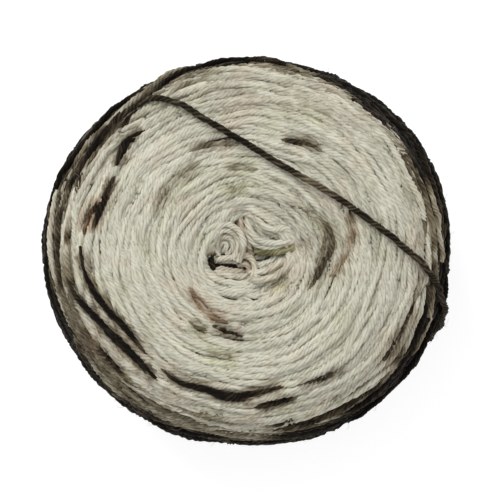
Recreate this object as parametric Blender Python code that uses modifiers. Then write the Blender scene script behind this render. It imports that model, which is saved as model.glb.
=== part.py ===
"""A cake of sock yarn, wound on a ball winder, with its loose end laid across the top face.

The cake lies on its flat base, centred on the origin, with +Z up. The camera of the
photograph looks straight down at the top face, with +X to the right and +Y up.
The cake is one solid of its wound form: an uneven round outline, rolled shoulders, the
raised bands of its crossing turns and the hollow core, collapsed into three slits.
The loose end is four-ply yarn: the last turn, which comes up the right side, lies across the
face and follows the upper left shoulder, where it is tucked in.
"""

import math

import bpy
from mathutils import Vector
from mathutils.bvhtree import BVHTree

MM = 0.001

# Driving sizes, in millimetres
YARN_DIAMETER = 1.9
CAKE_HEIGHT = 62.0
MEAN_RADIUS = 56.0

# How many pieces the turned form is divided into
TURN_STEPS = 108
FACE_RINGS = 28
SIDE_RINGS = 25

# Outline seen from above: heading in degrees from +X, radius in millimetres
OUTLINE = (
    (0, 56.3),
    (30, 56.7),
    (60, 54.7),
    (90, 54.0),
    (120, 54.0),
    (150, 56.5),
    (180, 57.5),
    (210, 56.2),
    (240, 55.2),
    (270, 54.2),
    (300, 55.6),
    (330, 55.6),
)

# Section of the top face, from the core to the shoulder: share of the outline radius, share of the height
FACE_SECTION = (
    (0.03, 0.880),
    (0.12, 0.930),
    (0.24, 0.968),
    (0.38, 0.988),
    (0.52, 0.992),
    (0.66, 0.982),
    (0.78, 0.955),
    (0.875, 0.900),
)

# Section of the side, from the shoulder down to the edge of the base, in the same shares
SIDE_SECTION = (
    (0.875, 0.900),
    (0.945, 0.810),
    (0.985, 0.690),
    (1.000, 0.520),
    (0.990, 0.340),
    (0.955, 0.185),
    (0.895, 0.080),
    (0.820, 0.020),
    (0.740, 0.000),
)

# Where the side ends and the face begins, as shares of the height
SHOULDER_FOOT = 0.80
SHOULDER_TOP = 0.92

# The face's rings close in on the core, which lies this far off the middle of the outline
CORE_SHIFT = Vector((-1.5, -1.8))
CORE_SHIFT_FADE = 1.5

# The three slits of the collapsed core, in millimetres: they meet at the heart and end at their tips
SLIT_HEART = Vector((-0.4, -2.0))
SLITS = (
    # tip x, tip y, depth
    (-2.0, 10.0, 4.0),
    (-10.0, -4.3, 5.0),
    (14.2, 0.8, 2.6),
)
SLIT_HALF_WIDTH = 1.5
SLIT_RISE_TO_TIP = 0.5

# Main twists: bands of turns that cross on the side and run round the face
SIDE_BANDS = 14
SIDE_RELIEF = 0.8
UNDER_BAND_SHARE = 0.35
SIDE_FADE_POWER = 6
FACE_BAND_PITCH = 6.4
FACE_RELIEF = 0.45
FACE_BAND_SWAY = 0.9
FACE_BAND_SWAYS = 5

# Route of the loose end over the cake, in millimetres: up the right side, across the face and
# round the upper left shoulder
LOOSE_END_ROUTE = (
    (47.5, -26.9, 14.5),
    (50.3, -25.1, 21.5),
    (52.3, -22.7, 29.0),
    (53.6, -20.0, 37.0),
    (53.9, -16.9, 44.0),
    (53.2, -13.4, 49.8),
    (51.6, -9.2, 54.6),
    (48.6, -4.9, 57.8),
    (43.5, -0.6, 60.0),
    (35.4, 6.3, 62.2),
    (29.2, 10.9, 62.8),
    (22.8, 15.2, 62.9),
    (11.4, 21.6, 62.9),
    (0.8, 28.0, 62.7),
    (-6.0, 32.1, 62.2),
    (-12.5, 36.0, 61.3),
    (-18.0, 39.2, 59.6),
    (-22.4, 41.4, 57.6),
    (-25.6, 42.3, 56.6),
    (-28.2, 41.2, 56.2),
    (-30.4, 38.8, 56.0),
    (-32.6, 36.2, 55.8),
    (-34.8, 33.6, 55.6),
)
PLIES = 4
PLY_LAY = 8.0
PLY_GROOVE = 0.17
STEPS_PER_LAY = 12
LOOSE_END_GAP = 0.4
REST_ROUNDS = 80
SETTLE_SHARE = 0.04


def clear_scene():
    for obj in list(bpy.data.objects):
        bpy.data.objects.remove(obj)


def new_collection(name):
    collection = bpy.data.collections.new(name)
    bpy.context.scene.collection.children.link(collection)
    return collection


def wool(name, colour, roughness):
    material = bpy.data.materials.new(name)
    material.use_nodes = True
    shader = material.node_tree.nodes["Principled BSDF"]
    shader.inputs["Base Color"].default_value = (*colour, 1.0)
    shader.inputs["Roughness"].default_value = roughness
    shader.inputs["Metallic"].default_value = 0.0
    return material


def smooth_point(before, start, end, after, t):
    """A point between start and end, on the smooth curve that passes through all four."""
    return 0.5 * (
        2 * start
        + (end - before) * t
        + (2 * before - 5 * start + 4 * end - after) * t**2
        + (3 * start - before - 3 * end + after) * t**3
    )


def smooth_line(rows, count):
    """count points on one smooth curve through the rows, equally many between each two."""
    points = [Vector(row) for row in rows]
    points = [2 * points[0] - points[1], *points, 2 * points[-1] - points[-2]]
    line = []
    for i in range(count):
        place = i / (count - 1) * (len(rows) - 1)
        k = min(int(place), len(rows) - 2)
        line.append(smooth_point(*points[k : k + 4], place - k))
    return line


def outline_radius(heading):
    """Radius of the uneven outline at a heading in radians, in millimetres."""
    place = math.degrees(heading) % 360 / 360 * len(OUTLINE)
    k = int(place)
    radii = [OUTLINE[(k + i) % len(OUTLINE)][1] for i in (-1, 0, 1, 2)]
    return smooth_point(*radii, place - k)


def turned_section():
    """The cake's section at +X in millimetres, from the core over the face and down the side to the base."""
    face = smooth_line(FACE_SECTION, FACE_RINGS)
    side = smooth_line(SIDE_SECTION, SIDE_RINGS)
    shares = [Vector((0.0, face[0].y)), *face, *side[1:], Vector((0.0, 0.0))]
    return [(p.x * MEAN_RADIUS, 0.0, p.y * CAKE_HEIGHT) for p in shares]


def slit_depth(x, y):
    """How far the collapsed core sinks below the face at a place, in millimetres."""
    deepest = 0.0
    for tip_x, tip_y, depth in SLITS:
        along = Vector((tip_x, tip_y)) - SLIT_HEART
        place = Vector((x, y)) - SLIT_HEART
        t = max(0.0, min(1.0, place.dot(along) / along.length_squared))
        away = (place - along * t).length / SLIT_HALF_WIDTH
        deepest = max(deepest, depth * (1 - SLIT_RISE_TO_TIP * t) * math.exp(-(away**2)))
    return deepest


def side_twist(heading, height):
    """Crossing bands: each turn is a circle tilted from the top shoulder to the bottom one.

    The rising bands lie over the falling ones, which show between them.
    """
    tilt = max(-1.0, min(1.0, 2 * height / CAKE_HEIGHT - 1))
    lead = math.acos(tilt)
    rising = math.cos(SIDE_BANDS * (heading - lead))
    falling = math.cos(SIDE_BANDS * (heading + lead))
    fade = max(0.0, 1 - abs(tilt) ** SIDE_FADE_POWER)
    return SIDE_RELIEF * fade * max(rising, UNDER_BAND_SHARE * falling)


def face_twist(heading, radius):
    """One spiral band round the face, swaying in and out where the turns cross."""
    sway = FACE_BAND_SWAY * math.sin(FACE_BAND_SWAYS * heading)
    turns = radius / FACE_BAND_PITCH
    return FACE_RELIEF * math.cos(2 * math.pi * turns + heading + sway)


def wound_place(turned):
    """Where a point of the plain turned form lies on the wound cake. All are in millimetres."""
    radius = math.hypot(turned.x, turned.y)
    heading = math.atan2(turned.y, turned.x)
    share = radius / MEAN_RADIUS
    height = turned.z
    if height == 0.0:
        reach = outline_radius(heading) * share
        return Vector((reach * math.cos(heading), reach * math.sin(heading), 0.0))
    up = (height / CAKE_HEIGHT - SHOULDER_FOOT) / (SHOULDER_TOP - SHOULDER_FOOT)
    on_face = max(0.0, min(1.0, up))
    reach = outline_radius(heading) * share
    reach += (1 - on_face) * side_twist(heading, height)
    shift = CORE_SHIFT * on_face * max(0.0, 1 - share) ** CORE_SHIFT_FADE
    x = reach * math.cos(heading) + shift.x
    y = reach * math.sin(heading) + shift.y
    lift = on_face * min(1.0, radius / FACE_BAND_PITCH) * face_twist(heading, radius)
    return Vector((x, y, height + lift - on_face * slit_depth(x, y)))


def make_cake(collection, material):
    section = turned_section()
    outline = bpy.data.meshes.new("cake_section")
    outline.from_pydata(
        [Vector(p) * MM for p in section],
        [(i, i + 1) for i in range(len(section) - 1)],
        [],
    )
    turned = bpy.data.objects.new("cake_section", outline)
    collection.objects.link(turned)
    screw = turned.modifiers.new("turn", "SCREW")
    screw.axis = "Z"
    screw.steps = TURN_STEPS
    screw.render_steps = TURN_STEPS
    screw.use_merge_vertices = True
    screw.merge_threshold = 0.00001
    depsgraph = bpy.context.evaluated_depsgraph_get()
    mesh = bpy.data.meshes.new_from_object(turned.evaluated_get(depsgraph))
    bpy.data.objects.remove(turned)
    mesh.name = "yarn_cake"
    places = [wound_place(vertex.co / MM) for vertex in mesh.vertices]
    middle = Vector((0.0, 0.0, 0.0))
    middle.x = (min(p.x for p in places) + max(p.x for p in places)) / 2
    middle.y = (min(p.y for p in places) + max(p.y for p in places)) / 2
    for vertex, place in zip(mesh.vertices, places):
        vertex.co = (place - middle) * MM
    mesh.shade_smooth()
    mesh.materials.clear()
    mesh.materials.append(material)
    cake = bpy.data.objects.new("yarn_cake", mesh)
    collection.objects.link(cake)
    return cake


def make_ply_section(collection):
    """The round of the yarn's four plies, which the loose end is swept from."""
    curve = bpy.data.curves.new("ply_section", "CURVE")
    curve.dimensions = "2D"
    curve.fill_mode = "NONE"
    spline = curve.splines.new("POLY")
    corners = 2 * PLIES
    spline.points.add(corners - 1)
    for i, point in enumerate(spline.points):
        angle = -2 * math.pi * i / corners
        radius = (YARN_DIAMETER / 2 - (i % 2) * PLY_GROOVE) * MM
        point.co = (radius * math.cos(angle), radius * math.sin(angle), 0.0, 1.0)
    spline.use_cyclic_u = True
    section = bpy.data.objects.new("ply_section", curve)
    section.hide_render = True
    section.display_type = "WIRE"
    collection.objects.link(section)
    return section


def even_line(rows, step):
    """Points about one step apart on the smooth curve through the rows."""
    fine = smooth_line(rows, 20 * len(rows))
    reached = [0.0]
    for a, b in zip(fine, fine[1:]):
        reached.append(reached[-1] + (b - a).length)
    count = round(reached[-1] / step)
    line = [fine[0]]
    k = 0
    for i in range(1, count):
        place = reached[-1] * i / count
        while reached[k + 1] < place:
            k += 1
        line.append(fine[k].lerp(fine[k + 1], (place - reached[k]) / (reached[k + 1] - reached[k])))
    return [*line, fine[-1]]


def rest_on(line, surface, clearance):
    """The line laid on the surface: its hollows are bridged, and no point is nearer than the clearance."""
    for _ in range(REST_ROUNDS):
        eased = [(a + 2 * b + c) / 4 for a, b, c in zip(line, line[1:], line[2:])]
        line = [line[0], *eased, line[-1]]
        for i, place in enumerate(line):
            foot, normal, _face, _distance = surface.find_nearest(place)
            short = clearance - (place - foot).dot(normal)
            settle = 1.0 if short > 0 else SETTLE_SHARE
            line[i] = place + normal * short * settle
    return line


def make_loose_end(collection, cake, section, material):
    corners = [vertex.co / MM for vertex in cake.data.vertices]
    surface = BVHTree.FromPolygons(corners, [face.vertices for face in cake.data.polygons])
    line = even_line(LOOSE_END_ROUTE, PLY_LAY / STEPS_PER_LAY)
    line = rest_on(line, surface, YARN_DIAMETER / 2 + LOOSE_END_GAP)
    curve = bpy.data.curves.new("loose_end", "CURVE")
    curve.dimensions = "3D"
    curve.bevel_mode = "OBJECT"
    curve.bevel_object = section
    curve.use_fill_caps = True
    spline = curve.splines.new("POLY")
    spline.points.add(len(line) - 1)
    for i, (point, place) in enumerate(zip(spline.points, line)):
        point.co = (*(place * MM), 1.0)
        point.tilt = -2 * math.pi * i / STEPS_PER_LAY
    spline.use_smooth = True
    curve.materials.append(material)
    loose_end = bpy.data.objects.new("loose_end", curve)
    collection.objects.link(loose_end)
    return loose_end


def main():
    clear_scene()
    parts = new_collection("sock_yarn_cake")
    guides = new_collection("guides")
    cream = wool("wool_cream", (0.62, 0.60, 0.49), 0.95)
    dark = wool("wool_dark", (0.035, 0.028, 0.018), 0.95)
    cake = make_cake(parts, cream)
    make_loose_end(parts, cake, make_ply_section(guides), dark)


main()
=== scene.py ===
"""The looks of a cake of sock yarn, wound on a ball winder and seen from straight above.

Every turn that shows is a length of four-ply yarn. The face is laid with arcs that follow the
collapsed core's three slits near the middle and the uneven outline near the rim. The side is
wound with tilted turns that run from the top shoulder to the bottom one, and the underside
with plain rings. A few turns are dyed dark, and one of them is the loose end on the face.
Sizes are in millimetres until a mesh is made, and the frame is in metres.
"""

import math

import bmesh
import bpy
import numpy as np
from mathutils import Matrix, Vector
from mathutils.bvhtree import BVHTree


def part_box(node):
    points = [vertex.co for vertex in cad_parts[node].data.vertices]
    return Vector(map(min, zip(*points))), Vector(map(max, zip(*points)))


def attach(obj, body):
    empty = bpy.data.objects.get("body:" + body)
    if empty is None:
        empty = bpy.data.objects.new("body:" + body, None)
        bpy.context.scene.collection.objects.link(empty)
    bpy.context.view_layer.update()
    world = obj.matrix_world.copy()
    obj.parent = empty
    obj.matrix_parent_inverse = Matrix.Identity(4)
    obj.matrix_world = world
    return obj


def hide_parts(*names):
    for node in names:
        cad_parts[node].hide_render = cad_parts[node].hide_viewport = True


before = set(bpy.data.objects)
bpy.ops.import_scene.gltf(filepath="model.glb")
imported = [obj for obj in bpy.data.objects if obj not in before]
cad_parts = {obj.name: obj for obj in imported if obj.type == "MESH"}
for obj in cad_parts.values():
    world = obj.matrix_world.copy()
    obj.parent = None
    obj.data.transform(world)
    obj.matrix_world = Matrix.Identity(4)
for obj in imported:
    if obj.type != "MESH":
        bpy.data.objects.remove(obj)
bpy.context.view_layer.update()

MM = 0.001
FULL_TURN = 2 * math.pi

# The yarn, in millimetres
YARN_DIAMETER = 1.9
YARN_RADIUS = YARN_DIAMETER / 2
TURN_PITCH = 2.05
PLIES = 4
PLY_LAY = 8.0
PLY_GROOVE = 0.30
PRESSED_RADIUS = 1.0
LUMPS_PER_METRE = 650.0
LUMPINESS = 0.62
TWIST_CHANGES_PER_METRE = 130.0
UNEVEN_TWIST = 0.9

# Stray fibres, in millimetres
FIBRE_LENGTH = 1.9
FIBRE_RADIUS = 0.022
FIBRES_FROM = 20.0

# The cake's own size, from its solid
cake_low, cake_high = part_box("yarn_cake")
CAKE_HEIGHT = (cake_high.z - cake_low.z) / MM
WIDEST_HEIGHT = 0.52 * CAKE_HEIGHT

# The camera of the photograph, straight above the cake, in millimetres
CAMERA_PLACE = (1.1, 0.2, WIDEST_HEIGHT + 580.0)
CAMERA_LENS = 149.0
SENSOR_WIDTH = 36.0
PICTURE_SIZE = 500

# The collapsed core's slits on the top face, as pixels of the photograph from end to end
SLITS = (
    ((246, 258), (240, 215)),
    ((246, 258), (300, 249)),
    ((243, 256), (211, 257)),
    ((246, 258), (247, 270)),
    ((247, 270), (211, 270)),
)

rng = np.random.default_rng(24)


def sight(column, row):
    """The direction in which the camera sees a pixel of the photograph."""
    slope = SENSOR_WIDTH / CAMERA_LENS / PICTURE_SIZE
    middle = PICTURE_SIZE / 2
    return Vector(((column - middle) * slope, (middle - row) * slope, -1.0))


def on_face(column, row):
    """Where the level of the top face shows at a pixel of the photograph."""
    ray = sight(column, row) * (CAMERA_PLACE[2] - CAKE_HEIGHT)
    return np.array([CAMERA_PLACE[0] + ray.x, CAMERA_PLACE[1] + ray.y])


def seen_at(column, row, height):
    """The place at a height that shows at a pixel of the photograph."""
    return np.array(Vector(CAMERA_PLACE) + sight(column, row) * (CAMERA_PLACE[2] - height))


def blend(edge_low, edge_high, value):
    """0 below the low edge, 1 above the high one and smooth between them."""
    t = np.clip((value - edge_low) / (edge_high - edge_low), 0.0, 1.0)
    return t * t * (3 - 2 * t)


# Form of the cake


WELD_DISTANCE = 0.00001
NORMAL_ROUNDS = 3


def new_object(name, data):
    """A new object in the scene."""
    thing = bpy.data.objects.new(name, data)
    bpy.context.scene.collection.objects.link(thing)
    return thing


def surface_of(mesh):
    """A mesh's surface in millimetres, for finding places on it."""
    corners = [vertex.co / MM for vertex in mesh.vertices]
    return BVHTree.FromPolygons(corners, [face.vertices for face in mesh.polygons])


def smooth_surface(node):
    """The surface of a node's solid, rounded for laying yarn on."""
    mesh = node.data.copy()
    shape = bmesh.new()
    shape.from_mesh(mesh)
    bmesh.ops.remove_doubles(shape, verts=shape.verts, dist=WELD_DISTANCE)
    shape.to_mesh(mesh)
    shape.free()
    rounded = new_object("rounded_cake", mesh)
    smoothing = rounded.modifiers.new("round", "SUBSURF")
    smoothing.levels = 1
    smoothing.render_levels = 1
    depsgraph = bpy.context.evaluated_depsgraph_get()
    finished = bpy.data.meshes.new_from_object(rounded.evaluated_get(depsgraph))
    bpy.data.objects.remove(rounded)
    return surface_of(finished)


cake_surface = smooth_surface(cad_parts["yarn_cake"])


def on_surface(column, row):
    """The place on the cake that shows at a pixel of the photograph."""
    start = Vector(CAMERA_PLACE)
    ray = sight(column, row)
    hit, _normal, _face, _distance = cake_surface.ray_cast(start, ray.normalized())
    return hit or cake_surface.find_nearest(start + ray * (start.z - WIDEST_HEIGHT))[0]


def face_height(x, y):
    """Height of the cake's top at a place."""
    hit, _normal, _face, _distance = cake_surface.ray_cast(
        Vector((x, y, 2 * CAKE_HEIGHT)), Vector((0, 0, -1))
    )
    return hit.z if hit else WIDEST_HEIGHT


def sunk(places, depth):
    """The places moved to a depth under the cake's surface nearest to each of them."""
    feet = [cake_surface.find_nearest(Vector(place)) for place in places]
    foot = np.array([found[0] for found in feet])
    normal = np.array([found[1] for found in feet])
    for _ in range(NORMAL_ROUNDS):
        normal[1:-1] = (normal[:-2] + 2 * normal[1:-1] + normal[2:]) / 4
    normal /= np.linalg.norm(normal, axis=1)[:, None]
    return foot - normal * np.broadcast_to(depth, len(foot))[:, None]


def on_top(x, y):
    """Places on the cake's top at x and y, both arrays."""
    return np.column_stack([x, y, [face_height(a, b) for a, b in zip(x, y)]])


def side_reach(heading, height):
    """Distance of the cake's side from its axis, at a heading in radians and a height."""
    out = Vector((math.cos(heading), math.sin(heading), 0.0))
    hit, _normal, _face, _distance = cake_surface.ray_cast(
        out * 2 * CAKE_HEIGHT + Vector((0, 0, height)), -out
    )
    return Vector((hit.x, hit.y)).length if hit else 0.0


HEADINGS = 720
HEADING_GRID = np.arange(HEADINGS) * FULL_TURN / HEADINGS
outline_reach = np.array([side_reach(heading, WIDEST_HEIGHT) for heading in HEADING_GRID])


def smooth_round(values, reach):
    """Values round a closed line, each averaged with its neighbours out to reach steps."""
    window = np.hanning(2 * reach + 3)[1:-1]
    wrapped = np.concatenate([values[-reach:], values, values[:reach]])
    return np.convolve(wrapped, window / window.sum(), "valid")


OUTLINE_SMOOTHING = 12
outline_reach = smooth_round(outline_reach, OUTLINE_SMOOTHING)


# Levels of the face: 0 along the slits of the core, 1 at the outline

# The power by which the nearer slit counts for more, and the least distance that is told apart
# from none, in millimetres
SLIT_POWER = 5.0
LEAST_AWAY = 0.05


def distance_to_slits(x, y):
    """Distance to the nearest slit, rounded off where two are equally near."""
    closeness = 0.0
    for start, end in SLITS:
        a, b = on_face(*start), on_face(*end)
        along = b - a
        t = ((x - a[0]) * along[0] + (y - a[1]) * along[1]) / (along @ along)
        t = np.clip(t, 0.0, 1.0)
        away = np.hypot(x - a[0] - t * along[0], y - a[1] - t * along[1])
        closeness = closeness + np.maximum(away, LEAST_AWAY) ** -SLIT_POWER
    return closeness ** (-1 / SLIT_POWER)


HEART = on_face(246, 258)
ROUND_CORE_MIDDLE = on_face(243, 255)
ROUND_CORE_REACH = 7.0
# Distances from the middle between which the core's form turns from slits to round
ROUNDING = (3.0, 17.0)


def core_distance(x, y):
    """Distance from the core: from its slits close by, from a round middle further out."""
    slits = distance_to_slits(x, y)
    middle_x, middle_y = ROUND_CORE_MIDDLE
    away = np.hypot(x - middle_x, y - middle_y)
    rounding = blend(*ROUNDING, away)
    return slits * (1 - rounding) + (away - ROUND_CORE_REACH) * rounding


LEVELS = 240
REACH_SHARES = 600
LEVEL_GRID = np.linspace(0.0, 1.0, LEVELS)


def level_table():
    """Reach from the heart for each level and heading of the face."""
    table = np.empty((LEVELS, HEADINGS))
    shares = np.linspace(0.0, 1.0, REACH_SHARES)
    outline_x = outline_reach * np.cos(HEADING_GRID)
    outline_y = outline_reach * np.sin(HEADING_GRID)
    bearing = np.unwrap(np.arctan2(outline_y - HEART[1], outline_x - HEART[0]))
    distance = np.hypot(outline_x - HEART[0], outline_y - HEART[1])
    rim = np.interp(HEADING_GRID, bearing, distance, period=FULL_TURN)
    for j, heading in enumerate(HEADING_GRID):
        reach = shares * rim[j]
        near = core_distance(
            HEART[0] + reach * math.cos(heading), HEART[1] + reach * math.sin(heading)
        )
        level = near / (near + rim[j] - reach + 1e-9)
        level = np.minimum.accumulate(level[::-1])[::-1]
        table[:, j] = np.interp(LEVEL_GRID, level, reach)
    return table


LEVEL_REACH = level_table()


def level_place(level, heading):
    """The place on the face at a level and a heading from the heart, both arrays."""
    row = np.clip(level, 0.0, 1.0) * (LEVELS - 1)
    low = np.minimum(row.astype(int), LEVELS - 2)
    rest = row - low
    turn = (heading / FULL_TURN % 1.0) * HEADINGS
    left = turn.astype(int) % HEADINGS
    right = (left + 1) % HEADINGS
    part = turn - np.floor(turn)
    lower = LEVEL_REACH[low, left] * (1 - part) + LEVEL_REACH[low, right] * part
    upper = LEVEL_REACH[low + 1, left] * (1 - part) + LEVEL_REACH[low + 1, right] * part
    reach = lower * (1 - rest) + upper * rest
    return HEART[0] + reach * np.cos(heading), HEART[1] + reach * np.sin(heading)


def eased(values, rounds):
    """A line's values with their small kinks smoothed out, its ends kept."""
    for _ in range(rounds):
        values = np.concatenate(
            [values[:1], (values[:-2] + 2 * values[1:-1] + values[2:]) / 4, values[-1:]]
        )
    return values


def noise_line(count, step, wavelength, strength):
    """A smooth random line of count values a step apart."""
    knots = max(4, int(count * step / wavelength) + 3)
    coarse = rng.normal(0.0, 1.0, knots)
    place = np.linspace(0.0, knots - 1.001, count)
    low = place.astype(int)
    part = place - low
    part = part * part * (3 - 2 * part)
    return strength * (coarse[low] * (1 - part) + coarse[low + 1] * part)


# Dye: 0 is undyed cream, 1 is nearly black


# Dark turns round the rim, by heading in degrees: dark all through to this depth from the
# outline as the camera sees it, mottled to this depth, faintly stained to this depth
# (millimetres), dye of the mottled part, dye of the side's turns
RIM_DYE = (
    (0, 2.2, 5.4, 11.0, 0.55, 0.90),
    (15, 3.8, 5.5, 11.0, 0.70, 0.95),
    (30, 3.9, 5.6, 11.0, 0.84, 1.10),
    (45, 3.1, 5.0, 12.0, 0.80, 1.10),
    (60, 2.4, 4.0, 15.0, 0.40, 1.00),
    (75, 1.4, 3.4, 18.0, 0.45, 1.05),
    (90, 1.3, 3.2, 19.0, 0.40, 1.00),
    (105, 2.2, 4.2, 19.0, 0.38, 0.90),
    (120, 2.6, 5.0, 16.0, 0.50, 0.75),
    (135, 0.8, 5.4, 12.0, 0.60, 0.90),
    (150, 1.2, 6.6, 10.0, 0.66, 0.85),
    (165, 1.4, 5.8, 9.0, 0.64, 0.72),
    (180, 0.8, 5.2, 9.0, 0.50, 0.75),
    (195, 2.2, 7.4, 10.0, 0.52, 1.05),
    (210, 1.6, 6.2, 12.0, 0.62, 1.05),
    (225, 1.0, 6.2, 15.0, 0.46, 0.80),
    (240, 2.6, 5.8, 16.0, 0.42, 0.90),
    (255, 1.6, 5.8, 16.0, 0.46, 0.85),
    (270, 1.4, 4.4, 14.0, 0.46, 0.82),
    (285, 2.2, 4.8, 12.0, 0.60, 1.00),
    (300, 2.4, 6.2, 11.0, 0.60, 1.10),
    (315, 2.3, 4.8, 11.0, 0.54, 1.15),
    (330, 3.4, 8.0, 12.0, 0.50, 1.10),
    (345, 2.8, 6.0, 11.0, 0.65, 1.10),
)
DARK, MOTTLED, STAINED, MOTTLED_DYE, SIDE_DYE = 1, 2, 3, 4, 5

# Faint darkening on the face, partly stains and partly painted shade between the turns: column, row,
# reach in millimetres, dye
FACE_STAINS_AND_SHADE = (
    (335, 240, 13.0, 0.10),
    (300, 205, 9.0, 0.08),
    (215, 150, 10.0, 0.06),
    (172, 190, 9.0, 0.06),
    (250, 330, 12.0, 0.05),
)
FACE_STAIN_AND_SHADE_CHANGE = 1.3

# Soft edges of the rim's bands of dye: how far an edge reaches outwards and inwards from the depth
# in the table, and how far a turn's own noise shifts it, in millimetres
DARK_EDGE = (1.1, 1.5, 0.9)
MOTTLED_EDGE = (1.6, 1.4, 1.2)
STAINED_EDGE = (5.0, 4.0, 0.0)
# Dye of a band, and how much of it the turn's own noise changes
DARK_DYE = 1.03
DARK_CHANGE = 0.14
MOTTLED_CHANGE = 0.45
STAIN = 0.13
STAIN_CHANGE = 0.9
DARKEST = 1.1


def round_the_rim(heading, column):
    """A column of the rim's table at headings in radians."""
    rows = np.array(RIM_DYE)
    return np.interp(np.degrees(heading) % 360, rows[:, 0], rows[:, column], period=360)


def outline_at(heading):
    """How far the outline reaches at headings in radians."""
    return np.interp(heading % FULL_TURN, HEADING_GRID, outline_reach, period=FULL_TURN)


def seen_depth(places):
    """How far inside the outline places show from the camera, at the cake's widest height."""
    rim = outline_at(np.arctan2(places[:, 1], places[:, 0]))
    nearer = (CAMERA_PLACE[2] - WIDEST_HEIGHT) / (CAMERA_PLACE[2] - places[:, 2])
    return rim - np.hypot(places[:, 0], places[:, 1]) * nearer


def face_stain_and_shade(x, y, share_along):
    """Dye of the faint stains and painted shade, uneven from turn to turn."""
    stain = np.zeros(len(x))
    for column, row, reach, dye in FACE_STAINS_AND_SHADE:
        middle = on_face(column, row)
        away = np.hypot(x - middle[0], y - middle[1]) / reach
        stain += dye * np.exp(-(away**2))
    return np.maximum(stain * (1.0 + FACE_STAIN_AND_SHADE_CHANGE * share_along), 0.0)


def share_of_band(heading, column, edge, depth, share_along):
    """How fully a band of the rim's dye is there at a depth, from 0 to 1."""
    outward, inward, shift = edge
    limit = round_the_rim(heading, column)
    return 1 - blend(limit - outward, limit + inward, depth - shift * share_along)


def rim_dye(places, share_along):
    """Dye of a turn by its depth from the outline; share_along is the turn's noise, -1 to 1."""
    heading = np.arctan2(places[:, 1], places[:, 0])
    depth = seen_depth(places)
    full = share_of_band(heading, DARK, DARK_EDGE, depth, share_along)
    full = full * (DARK_DYE + DARK_CHANGE * share_along)
    part = share_of_band(heading, MOTTLED, MOTTLED_EDGE, depth, share_along)
    part = part * round_the_rim(heading, MOTTLED_DYE) * (1.0 + MOTTLED_CHANGE * share_along)
    faint = share_of_band(heading, STAINED, STAINED_EDGE, depth, share_along)
    faint = faint * STAIN * (1.0 + STAIN_CHANGE * share_along)
    return np.clip(np.maximum(np.maximum(full, part), faint), 0.0, DARKEST)
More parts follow.
